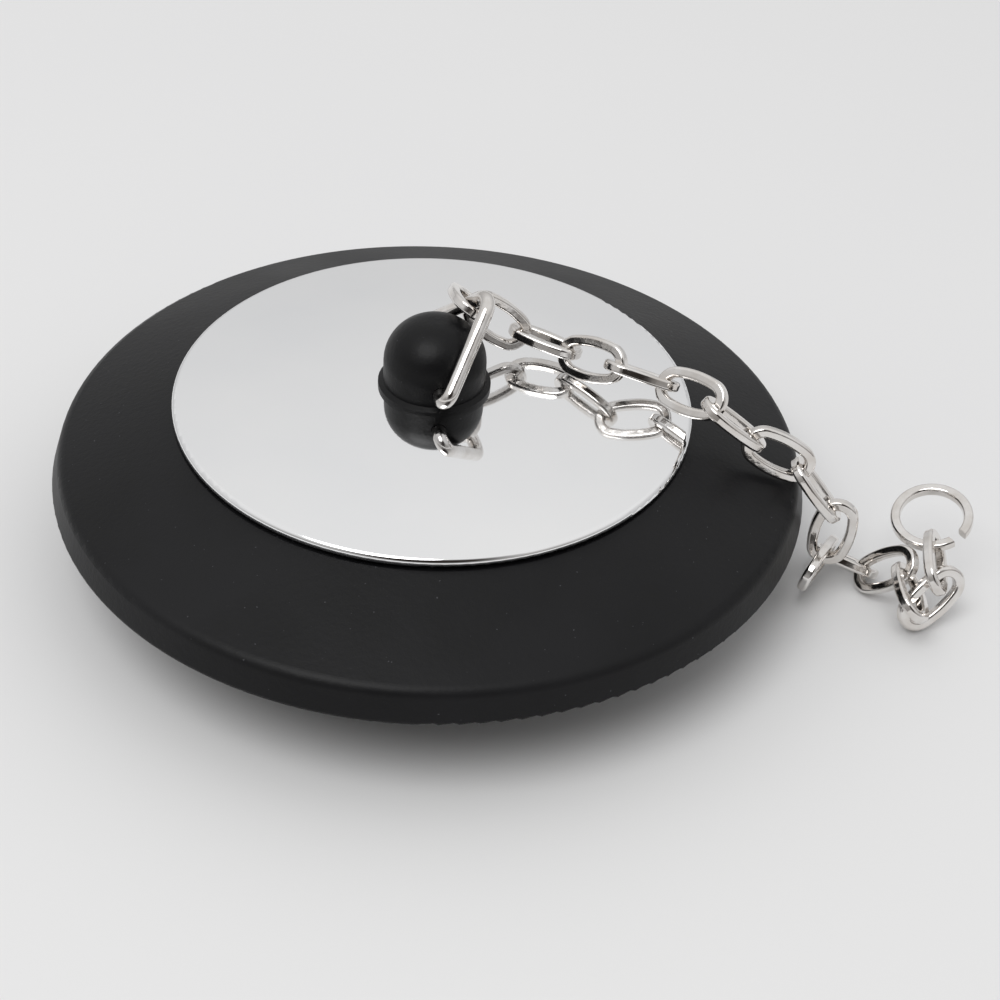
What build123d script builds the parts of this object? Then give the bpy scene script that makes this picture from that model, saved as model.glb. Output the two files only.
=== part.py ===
from build123d import *
from math import atan2, cos, degrees, radians, sin, sqrt, tan
import os

# Sizes in millimetres and angles in degrees.
# Z is up and the origin is on the stopper's axis, on the flat underside that it stands on.

# Cover plate
plate_radius = 30.0
plate_gauge = 0.7
plate_dome = 1.15
plate_edge_drop = 2.2
plate_edge_radius = 0.65
plate_hole_radius = 5.2

# Flange and plug of the rubber moulding
stopper_height = 21.5
flange_shoulder_radius = 43.0
flange_shoulder_drop = 7.1
flange_radius = 44.2
flange_foot_drop = 10.9
shoulder_rounding = 1.6
foot_rounding = 0.4
seat_clearance = 0.15
seat_step = 0.4
flange_dish = 2.0
plug_root_radius = 28.5
plug_tip_radius = 26.5
plug_wall = 5.0
recess_depth = 6.5
recess_draft = 1.0
core_radius = 8.0
recess_rounding = 1.5
tip_rounding = 1.2

# Boss of the rubber moulding
boss_radius = 5.9
boss_straight = 3.1
boss_crown_radius = 5.3
lip_radius = 6.5
lip_height = 0.7
lip_rounding = 0.3
neck_clearance = 0.1

# Bail
bail_wire_radius = 0.85
bail_foot_height = 2.5
bail_half_base = 9.2
bail_leg_angle = 39
bail_corner_radius = 1.1
bail_apex_radius = 2.2
bail_end_gap = 0.6
bail_turn = 7
bail_lean = 34
bail_hole_clearance = 0.05

# Chain link
link_length = 9.2
link_width = 5.4
link_band = 1.25
link_gauge = 1.2
link_crown_radius = 1.2
link_edge_radius = 0.35
hook_clearance = 0.12

# End ring
ring_radius = 4.8
ring_band = 1.15
ring_gauge = 1.25
ring_edge_radius = 0.35
ring_mouth = 1.7
ring_mouth_angle = 50
ring_clearance = 0.16

# Lie of the chain, link by link from the bail: the way each link points, seen from above,
# how steeply it dips and its roll about its own length
link_bearings = [95, 3, -25, -36, -5, -39, -7, -6, -21, 5, -121, -12, -34, -93, 29, 80]
link_dips = [18, 38, 7, -11, 16, -6, 35, 26, 46, 95, -3, 18, -44, -2, -37, -5]
link_rolls = [-37, -78, 20, -64, 28, -55, 12, -80, 14, 72, -78, 31, -43, 41, -66, -57]
ring_bearing = 75
ring_dip = -16
ring_roll = 10

overrun = 1.0

os.makedirs("parts", exist_ok=True)

# Heights and radii worked out from the sizes above
seat_top = stopper_height - plate_gauge
plate_edge_foot = stopper_height - plate_edge_drop
flange_root = plate_edge_foot - seat_step
shoulder_height = stopper_height - flange_shoulder_drop
foot_height = stopper_height - flange_foot_drop
seat_radius = plate_radius - plate_gauge - seat_clearance
neck_radius = plate_hole_radius - neck_clearance
dome_radius = (plate_radius**2 + plate_dome**2) / (2 * plate_dome)
dome_centre = stopper_height - dome_radius


def plate_height(radius):
    """Height of the domed plate's top, at a radius from its axis."""
    return dome_centre + sqrt(dome_radius**2 - radius**2)


def seat_height(radius):
    """Height of the plate's underside, and of the rubber that it lies on."""
    return dome_centre + sqrt((dome_radius - plate_gauge) ** 2 - radius**2)


# Rubber plug, one moulding turned about the stopper's axis
def flange_outline():
    """Half section of the flange, the seat and the tapered plug with the recess under it."""
    recess_wall_tip = plug_tip_radius - plug_wall
    with BuildLine() as line:
        RadiusArc((0, seat_top), (seat_radius, seat_height(seat_radius)), dome_radius - plate_gauge)
        Polyline(
            (seat_radius, seat_height(seat_radius)),
            (seat_radius, flange_root),
            (plate_radius, flange_root),
            (flange_shoulder_radius, shoulder_height),
            (flange_radius, foot_height),
            (plug_root_radius, foot_height + flange_dish),
            (plug_tip_radius, 0),
            (recess_wall_tip, 0),
            (recess_wall_tip - recess_draft, recess_depth),
            (core_radius + recess_draft, recess_depth),
            (core_radius, 0),
            (0, 0),
            (0, seat_top),
        )
    return line.line


with BuildPart() as rubber_plug:
    with BuildSketch(Plane.XZ) as flange_section:
        add(flange_outline())
        make_face()
        corners = flange_section.vertices()
        shoulder = corners.sort_by_distance((flange_shoulder_radius, shoulder_height))[0]
        fillet(shoulder, shoulder_rounding)
        rim_foot = flange_section.vertices().sort_by_distance((flange_radius, foot_height))[0]
        fillet(rim_foot, foot_rounding)
        plug_tip = flange_section.vertices().sort_by_distance((plug_tip_radius, 0))[0]
        fillet(plug_tip, tip_rounding)
        recess_top = flange_section.vertices().filter_by(lambda v: abs(v.Y - recess_depth) < foot_rounding)
        fillet(recess_top, recess_rounding)
    revolve(axis=Axis.Z)
    with BuildSketch(Plane.XZ) as boss_section:
        with BuildLine():
            dome_foot = (boss_radius, stopper_height + boss_straight)
            crown_edge = (boss_radius - boss_crown_radius, stopper_height + boss_straight + boss_crown_radius)
            crest = (0, stopper_height + boss_straight + boss_crown_radius)
            Polyline(
                crest,
                (0, seat_top - plate_gauge),
                (neck_radius, seat_top - plate_gauge),
                (neck_radius, plate_height(neck_radius)),
                (lip_radius, plate_height(lip_radius)),
                (lip_radius, stopper_height + lip_height - lip_rounding),
                (boss_radius, stopper_height + lip_height),
                dome_foot,
            )
            RadiusArc(dome_foot, crown_edge, -boss_crown_radius)
            Line(crown_edge, crest)
        make_face()
    revolve(axis=Axis.Z)

# Cross hole for the bail's foot, a little off square to the view
bail_axis = Vector(-sin(radians(bail_turn)), cos(radians(bail_turn)), 0)
bail_foot = Vector(0, 0, stopper_height + bail_foot_height)
bail_hole_radius = bail_wire_radius + bail_hole_clearance
with rubber_plug:
    with BuildSketch(Plane(origin=bail_foot, z_dir=bail_axis)):
        Circle(bail_hole_radius)
    extrude(amount=boss_radius + overrun, both=True, mode=Mode.SUBTRACT)

rubber_plug.part.label = "rubber_plug"
export_step(rubber_plug.part, "parts/rubber_plug.step")

# Cover plate, a steel disc with its edge turned down round the seat
with BuildPart() as cover_plate:
    with BuildSketch(Plane.XZ) as plate_section:
        with BuildLine():
            rim_inside = plate_radius - plate_gauge
            top_edge = (plate_radius, plate_height(plate_radius))
            under_edge = (rim_inside, seat_height(rim_inside))
            RadiusArc((plate_hole_radius, plate_height(plate_hole_radius)), top_edge, dome_radius)
            Polyline(top_edge, (plate_radius, plate_edge_foot), (rim_inside, plate_edge_foot), under_edge)
            RadiusArc(under_edge, (plate_hole_radius, seat_height(plate_hole_radius)), plate_gauge - dome_radius)
            Line(
                (plate_hole_radius, seat_height(plate_hole_radius)),
                (plate_hole_radius, plate_height(plate_hole_radius)),
            )
        make_face()
        edge_corner = plate_section.vertices().sort_by_distance(top_edge)[0]
        fillet(edge_corner, plate_edge_radius)
        foot_corner = plate_section.vertices().sort_by_distance((plate_radius, plate_edge_foot))[0]
        fillet(foot_corner, plate_gauge / 2)
    revolve(axis=Axis.Z)

cover_plate.part.label = "cover_plate"
export_step(cover_plate.part, "parts/cover_plate.step")

# Bail, one round wire bent to a blunt triangle, its two ends meeting inside the boss
bail_up = Vector(
    sin(radians(bail_lean)) * cos(radians(bail_turn)),
    sin(radians(bail_lean)) * sin(radians(bail_turn)),
    cos(radians(bail_lean)),
)
bail_plane = Plane(origin=bail_foot, x_dir=bail_axis, z_dir=bail_axis.cross(bail_up))
bail_meeting_height = bail_half_base / tan(radians(bail_leg_angle))
apex_centre_height = bail_meeting_height - bail_apex_radius / sin(radians(bail_leg_angle))
bail_top_height = apex_centre_height + bail_apex_radius

with BuildPart() as bail:
    with BuildLine(bail_plane) as bail_path:
        FilletPolyline(
            (-bail_end_gap / 2, 0),
            (-bail_half_base, 0),
            (0, bail_meeting_height),
            (bail_half_base, 0),
            (bail_end_gap / 2, 0),
            radius=[bail_corner_radius, bail_apex_radius, bail_corner_radius],
        )
    with BuildSketch(Plane(origin=bail_path.line @ 0, z_dir=bail_path.line % 0)):
        Circle(bail_wire_radius)
    sweep(path=bail_path.line)

bail.part.label = "bail"
export_step(bail.part, "parts/bail.step")


# Outline of a link, an oval of four arcs that meet smoothly
crown_radius = link_crown_radius + link_band
crown_centre = link_length / 2 - crown_radius
link_half_width = link_width / 2
side_radius = (crown_centre**2 + link_half_width**2 - crown_radius**2) / (2 * (link_half_width - crown_radius))
side_centre = side_radius - link_half_width
crown_half_turn = degrees(atan2(side_centre, crown_centre))


def link_frame(bearing, dip, roll):
    """Length, width and face directions of a link."""
    bearing = radians(bearing)
    dip = radians(dip)
    roll = radians(roll)
    along = Vector(cos(bearing) * cos(dip), sin(bearing) * cos(dip), -sin(dip))
    side = Vector(-sin(bearing), cos(bearing), 0)
    face = along.cross(side) * cos(roll) + side * sin(roll)
    return along, face.cross(along), face


def wire_point(along, across, outward):
    """Point of a link's wire, from the link's centre, where the wire faces outward."""
    turn = degrees(atan2(outward.dot(across), outward.dot(along)))
    crown_wire = crown_radius - link_band / 2
    side_wire = side_radius - link_band / 2
    if abs(turn) <= crown_half_turn:
        start, radius = along * crown_centre, crown_wire
    elif abs(turn) >= 180 - crown_half_turn:
        start, radius = along * -crown_centre, crown_wire
    elif turn > 0:
        start, radius = across * -side_centre, side_wire
    else:
        start, radius = across * side_centre, side_wire
    return start + outward * radius


def pull_line(held_face, next_face, way):
    """Line in which the planes of two hooked pieces cross, along way."""
    line = held_face.cross(next_face).normalized()
    if line.dot(way) < 0:
        line = -line
    return line


# Places of the links, each hung on the wire of the piece before it
bail_face = bail_plane.z_dir
apex_centre = bail_foot + bail_up * apex_centre_height
along, across, face = link_frame(link_bearings[0], link_dips[0], link_rolls[0])
pull = pull_line(bail_face, face, along)
hook = apex_centre + pull * bail_apex_radius
gap = bail_wire_radius + link_band / 2 + hook_clearance
centre = hook - pull * gap - wire_point(along, across, -pull)
chain = [(centre, along, across, face)]
hooks = [hook]
for number in range(2, len(link_bearings) + 1):
    held_centre, held_along, held_across, held_face = chain[-1]
    along, across, face = link_frame(link_bearings[number - 1], link_dips[number - 1], link_rolls[number - 1])
    pull = pull_line(held_face, face, along)
    hook = held_centre + wire_point(held_along, held_across, pull)
    centre = hook - pull * (link_band + hook_clearance) - wire_point(along, across, -pull)
    hooks.append(hook)
    chain.append((centre, along, across, face))


# Chain links, flattened ovals of four arcs
def oval_link(plane):
    """One link, centred on the plane with its length along the plane's X."""
    side_half_turn = 90 - crown_half_turn
    with BuildPart() as link:
        with BuildSketch(plane):
            with BuildLine():
                CenterArc((crown_centre, 0), crown_radius, -crown_half_turn, 2 * crown_half_turn)
                CenterArc((0, -side_centre), side_radius, crown_half_turn, 2 * side_half_turn)
                CenterArc((-crown_centre, 0), crown_radius, 180 - crown_half_turn, 2 * crown_half_turn)
                CenterArc((0, side_centre), side_radius, 180 + crown_half_turn, 2 * side_half_turn)
            make_face()
            offset(amount=-link_band, mode=Mode.SUBTRACT)
        extrude(amount=link_gauge / 2, both=True)
        faces = link.faces().sort_by(Axis(plane.origin, plane.z_dir))
        fillet(faces[0].edges() + faces[-1].edges(), link_edge_radius)
    return link.part


for number, (centre, along, across, face) in enumerate(chain, start=1):
    link = oval_link(Plane(origin=centre, x_dir=along, z_dir=face))
    link.label = f"link_{number:02d}"
    export_step(link, f"parts/link_{number:02d}.step")

# End ring, an open jump ring hooked through the last link
last_centre, last_along, last_across, last_face = chain[-1]
ring_along, ring_across, ring_face = link_frame(ring_bearing, ring_dip, ring_roll)
ring_pull = pull_line(last_face, ring_face, last_along + ring_along)
ring_hook = last_centre + wire_point(last_along, last_across, ring_pull)
ring_wire = ring_hook - ring_pull * (link_band / 2 + ring_band / 2 + ring_clearance)
ring_mean_radius = ring_radius - ring_band / 2
ring_centre = ring_wire + ring_pull * ring_mean_radius
ring_plane = Plane(origin=ring_centre, x_dir=ring_along, z_dir=ring_face)

with BuildPart() as end_ring:
    with BuildSketch(ring_plane):
        Circle(ring_radius)
        Circle(ring_radius - ring_band, mode=Mode.SUBTRACT)
        with Locations((-ring_mean_radius * cos(radians(ring_mouth_angle)),
                        -ring_mean_radius * sin(radians(ring_mouth_angle)))):
            Rectangle(ring_band + overrun, ring_mouth, rotation=ring_mouth_angle, mode=Mode.SUBTRACT)
    extrude(amount=ring_gauge / 2, both=True)
    ring_faces = end_ring.faces().sort_by(Axis(ring_plane.origin, ring_plane.z_dir))
    fillet(ring_faces[0].edges().filter_by(GeomType.CIRCLE)
           + ring_faces[-1].edges().filter_by(GeomType.CIRCLE), ring_edge_radius)

end_ring.part.label = "end_ring"
export_step(end_ring.part, "parts/end_ring.step")
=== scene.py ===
from math import cos, radians, sin

import bpy
from mathutils import Matrix, Vector


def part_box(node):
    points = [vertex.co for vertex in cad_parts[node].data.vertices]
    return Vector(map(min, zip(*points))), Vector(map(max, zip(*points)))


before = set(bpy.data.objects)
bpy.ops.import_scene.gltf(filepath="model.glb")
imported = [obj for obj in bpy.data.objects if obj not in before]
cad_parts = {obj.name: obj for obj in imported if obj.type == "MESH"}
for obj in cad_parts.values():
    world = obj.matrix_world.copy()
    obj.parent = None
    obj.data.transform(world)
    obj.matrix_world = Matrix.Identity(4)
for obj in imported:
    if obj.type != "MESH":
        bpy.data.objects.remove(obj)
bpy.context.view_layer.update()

# Lengths are in metres, angles in degrees and powers in watts. Z is up, and the origin is on the
# stopper's axis, on the floor that it stands on.
MM = 0.001

# Camera, set where the photographer's was, with its lens and sensor in millimetres
camera_distance = 199.5 * MM
camera_elevation = 34.95
camera_pan = 2.32
camera_tilt = 3.79
camera_roll = -2.16
camera_lens = 62.1
camera_sensor = 36.0
camera_clip_start = 1 * MM

# Noises, each as its scale, per metre, and its levels of detail
rubber_mark_noise = (55, 4)
rubber_dust_noise = (2300, 1)
rubber_grain_noise = (5200, 2)
rubber_pore_noise = (1500, 3)
plate_smear_noise = (45, 4)
plate_ring_noise = (2600, 3)
plate_wave_noise = (38, 1)
wire_patch_noise = (420, 4)
wire_pit_noise = (3800, 2)
wire_wave_noise = (640, 2)
floor_patch_noise = (6, 2)

# Bands of a noise's value, from its middle out, and the peaks alone
middle_band = (0.35, 0.65)
wide_band = (0.3, 0.7)
upper_band = (0.35, 0.7)
peak_band = (0.77, 0.80)

# Rubber
rubber_tones = ((0.004, 0.004, 0.0045), (0.008, 0.008, 0.009))
rubber_roughness = (0.38, 0.48)
rubber_ior = 1.5
rubber_specular = 0.2
rubber_grain_depth = 0.012 * MM
rubber_pore_depth = 0.03 * MM
dust_colour = (0.10, 0.10, 0.11)
dust_share = 0.5

# Cover plate
plate_tones = ((0.88, 0.885, 0.895), (0.92, 0.92, 0.92))
plate_roughness = (0.035, 0.085)
plate_ring_depth = 0.0006 * MM
plate_wave_depth = 0.010 * MM

# Wire of the bail, the links and the end ring
wire_tones = ((0.70, 0.665, 0.63), (0.82, 0.80, 0.78))
wire_roughness = (0.07, 0.15)
wire_pit_depth = 0.004 * MM
wire_wave_depth = 0.035 * MM

# Floor
floor_side = 6.0
floor_grey = 0.80
floor_patch_tint = (0.985, 0.985, 0.99)
floor_roughness = 0.9
floor_specular = 0.1

# Sky, whose bands are parts of a direction of length 1
sky_strength = 0.83
horizon_colour = (0.60, 0.60, 0.605)
overhead_colour = (1.0, 1.0, 1.0)
overhead_band = (0.0, 0.75)
front_band = (-0.6, -0.1)
front_height_band = (0.25, 0.65)
front_tint = (0.60, 0.585, 0.57)
photographer_reach = 36
photographer_core = 18
photographer_tint = (0.05, 0.042, 0.038)

# Key lamp
key_size = 0.9
key_power = 7.0
key_place = Vector((-0.35, -0.5, 1.15))

# Places of the colours in the inputs and outputs of Blender's mix node
mix_share = 0
mix_first = 6
mix_second = 7
mix_result = 2


# Node helpers
def new_material(name):
    """An empty node material with its Principled shader."""
    material = bpy.data.materials.new(name)
    material.use_nodes = True
    shader = material.node_tree.nodes["Principled BSDF"]
    return material, material.node_tree, shader


def add_node(tree, kind, **settings):
    """One node with its plain settings."""
    node = tree.nodes.new(kind)
    for name, value in settings.items():
        setattr(node, name, value)
    return node


def object_place(tree):
    """Coordinates fixed to the piece, in metres."""
    return add_node(tree, "ShaderNodeTexCoord").outputs["Object"]


def axis_distance(tree):
    """Distance from the piece's Z axis, as a place on X."""
    parts = add_node(tree, "ShaderNodeSeparateXYZ")
    tree.links.new(object_place(tree), parts.inputs["Vector"])
    flat = add_node(tree, "ShaderNodeCombineXYZ")
    tree.links.new(parts.outputs["X"], flat.inputs["X"])
    tree.links.new(parts.outputs["Y"], flat.inputs["Y"])
    radius = add_node(tree, "ShaderNodeVectorMath", operation="LENGTH")
    tree.links.new(flat.outputs["Vector"], radius.inputs[0])
    place = add_node(tree, "ShaderNodeCombineXYZ")
    tree.links.new(radius.outputs["Value"], place.inputs["X"])
    return place.outputs["Vector"]


def noise(tree, scale_and_detail, place=None):
    """One of the noises, over the piece's own coordinates or a given place."""
    scale, detail = scale_and_detail
    node = add_node(tree, "ShaderNodeTexNoise")
    node.inputs["Scale"].default_value = scale
    node.inputs["Detail"].default_value = detail
    tree.links.new(place or object_place(tree), node.inputs["Vector"])
    return node.outputs["Fac"]


def spread(tree, value, band, to=(0, 1)):
    """Value mapped from a band to another range and held to it."""
    node = add_node(tree, "ShaderNodeMapRange")
    for end, band_end, to_end in zip(("Min", "Max"), band, to):
        node.inputs[f"From {end}"].default_value = band_end
        node.inputs[f"To {end}"].default_value = to_end
    tree.links.new(value, node.inputs["Value"])
    return node.outputs["Result"]


def blend(tree, share, first, second, kind="MIX"):
    """First turned to second, or for MULTIPLY to first times second, by a share that varies."""
    node = add_node(tree, "ShaderNodeMix", data_type="RGBA", blend_type=kind)
    if isinstance(first, tuple):
        node.inputs[mix_first].default_value = (*first, 1)
    else:
        tree.links.new(first, node.inputs[mix_first])
    node.inputs[mix_second].default_value = (*second, 1)
    tree.links.new(share, node.inputs[mix_share])
    return node.outputs[mix_result]


def relief(tree, shader, layers):
    """Relief of the shader's surface, from pairs of a noise and its depth."""
    normal = None
    for height, depth in layers:
        node = add_node(tree, "ShaderNodeBump")
        node.inputs["Distance"].default_value = depth
        tree.links.new(height, node.inputs["Height"])
        if normal is not None:
            tree.links.new(normal, node.inputs["Normal"])
        normal = node.outputs["Normal"]
    tree.links.new(normal, shader.inputs["Normal"])


def rubber_material():
    """Satin black rubber with a fine moulded grain, faint handling marks and pale flecks of dust."""
    material, tree, shader = new_material("satin_black_rubber")
    marks = noise(tree, rubber_mark_noise)
    clean = blend(tree, spread(tree, marks, middle_band), *rubber_tones)
    flecks = spread(tree, noise(tree, rubber_dust_noise), peak_band, (0, dust_share))
    tree.links.new(blend(tree, flecks, clean, dust_colour), shader.inputs["Base Color"])
    tree.links.new(spread(tree, marks, wide_band, rubber_roughness), shader.inputs["Roughness"])
    grain = noise(tree, rubber_grain_noise)
    pores = noise(tree, rubber_pore_noise)
    relief(tree, shader, [(grain, rubber_grain_depth), (pores, rubber_pore_depth)])
    shader.inputs["IOR"].default_value = rubber_ior
    shader.inputs["Specular IOR Level"].default_value = rubber_specular
    return material


def plate_material():
    """Mirror-polished steel with smears, faint polishing rings and a slight waviness."""
    material, tree, shader = new_material("polished_plate")
    smear = noise(tree, plate_smear_noise)
    tone = blend(tree, spread(tree, smear, wide_band), *plate_tones)
    tree.links.new(tone, shader.inputs["Base Color"])
    tree.links.new(spread(tree, smear, upper_band, plate_roughness), shader.inputs["Roughness"])
    shader.inputs["Metallic"].default_value = 1.0
    rings = noise(tree, plate_ring_noise, axis_distance(tree))
    waves = noise(tree, plate_wave_noise)
    relief(tree, shader, [(rings, plate_ring_depth), (waves, plate_wave_depth)])
    return material


def wire_material():
    """Bright plated wire, smooth but not flat, warmer in some patches and rougher in others."""
    material, tree, shader = new_material("bright_wire")
    patches = noise(tree, wire_patch_noise)
    tone = blend(tree, spread(tree, patches, middle_band), *wire_tones)
    tree.links.new(tone, shader.inputs["Base Color"])
    tree.links.new(spread(tree, patches, upper_band, wire_roughness), shader.inputs["Roughness"])
    shader.inputs["Metallic"].default_value = 1.0
    pits = noise(tree, wire_pit_noise)
    waves = noise(tree, wire_wave_noise)
    relief(tree, shader, [(pits, wire_pit_depth), (waves, wire_wave_depth)])
    return material


def floor_material():
    """Pale matt floor, slightly darker in patches."""
    material, tree, shader = new_material("pale_floor")
    patches = spread(tree, noise(tree, floor_patch_noise), middle_band)
    darker = tuple(floor_grey * share for share in floor_patch_tint)
    plain = (floor_grey, floor_grey, floor_grey)
    tree.links.new(blend(tree, patches, darker, plain), shader.inputs["Base Color"])
    shader.inputs["Roughness"].default_value = floor_roughness
    shader.inputs["Specular IOR Level"].default_value = floor_specular
    return material


def dress(material, names):
    """Gives the material to every slot of the named nodes."""
    for name in names:
        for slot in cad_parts[name].material_slots:
            slot.material = material


def add_object(name, data):
    """A new object in the scene."""
    added = bpy.data.objects.new(name, data)
    bpy.context.scene.collection.objects.link(added)
    return added


def toward_camera():
    """Direction from the stopper to the camera."""
    elevation = radians(camera_elevation)
    return Vector((0, -cos(elevation), sin(elevation)))


def make_floor():
    """A wide square round the origin."""
    half = floor_side / 2
    mesh = bpy.data.meshes.new("floor")
    corners = [(-half, -half, 0), (half, -half, 0), (half, half, 0), (-half, half, 0)]
    mesh.from_pydata(corners, [], [(0, 1, 2, 3)])
    floor = add_object("floor", mesh)
    mesh.materials.append(floor_material())


def make_sky():
    """Soft sky, brighter overhead, dimmer low in front, and dark round the photographer."""
    world = bpy.data.worlds.new("soft_sky")
    bpy.context.scene.world = world
    world.use_nodes = True
    tree = world.node_tree
    place = add_node(tree, "ShaderNodeTexCoord").outputs["Generated"]
    parts = add_node(tree, "ShaderNodeSeparateXYZ")
    tree.links.new(place, parts.inputs["Vector"])
    height = spread(tree, parts.outputs["Z"], overhead_band)
    rise = blend(tree, height, horizon_colour, overhead_colour)

    low_front = add_node(tree, "ShaderNodeMath", operation="MULTIPLY")
    front = spread(tree, parts.outputs["Y"], front_band, (1, 0))
    tree.links.new(front, low_front.inputs[0])
    low = spread(tree, parts.outputs["Z"], front_height_band, (1, 0))
    tree.links.new(low, low_front.inputs[1])
    dimmed = blend(tree, low_front.outputs["Value"], rise, front_tint, "MULTIPLY")

    facing = add_node(tree, "ShaderNodeVectorMath", operation="DOT_PRODUCT")
    facing.inputs[1].default_value = toward_camera()
    tree.links.new(place, facing.inputs[0])
    photographer_band = (cos(radians(photographer_reach)), cos(radians(photographer_core)))
    near = spread(tree, facing.outputs["Value"], photographer_band)
    darkened = blend(tree, near, dimmed, photographer_tint, "MULTIPLY")

    background = tree.nodes["Background"]
    tree.links.new(darkened, background.inputs["Color"])
    background.inputs["Strength"].default_value = sky_strength


def make_key():
    """A broad lamp above, in front and to the left, aimed at the origin."""
    lamp = bpy.data.lights.new("key", "AREA")
    lamp.shape = "DISK"
    lamp.size = key_size
    lamp.energy = key_power
    key = add_object("key", lamp)
    key.location = key_place
    key.rotation_euler = (-key_place).to_track_quat("-Z", "Y").to_euler()


def make_camera():
    """The camera, which looks past the middle of the plate's top by its pan, tilt and roll."""
    plate_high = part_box("cover_plate")[1]
    target = Vector((0, 0, plate_high.z))
    back = toward_camera()
    right = Vector((1, 0, 0))
    aim = Matrix((right, back.cross(right), back)).transposed()
    aim = aim @ Matrix.Rotation(radians(-camera_pan), 3, "Y")
    aim = aim @ Matrix.Rotation(radians(-camera_tilt), 3, "X")
    aim = aim @ Matrix.Rotation(radians(-camera_roll), 3, "Z")
    data = bpy.data.cameras.new("camera")
    data.lens = camera_lens
    data.sensor_width = camera_sensor
    data.clip_start = camera_clip_start
    camera = add_object("camera", data)
    camera.matrix_world = Matrix.Translation(target + back * camera_distance) @ aim.to_4x4()
    bpy.context.scene.camera = camera


dress(rubber_material(), ["rubber_plug"])
dress(plate_material(), ["cover_plate"])
wire_nodes = [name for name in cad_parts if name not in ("rubber_plug", "cover_plate")]
dress(wire_material(), wire_nodes)

make_floor()
make_sky()
make_key()
make_camera()
bpy.context.scene.view_settings.view_transform = "Standard"
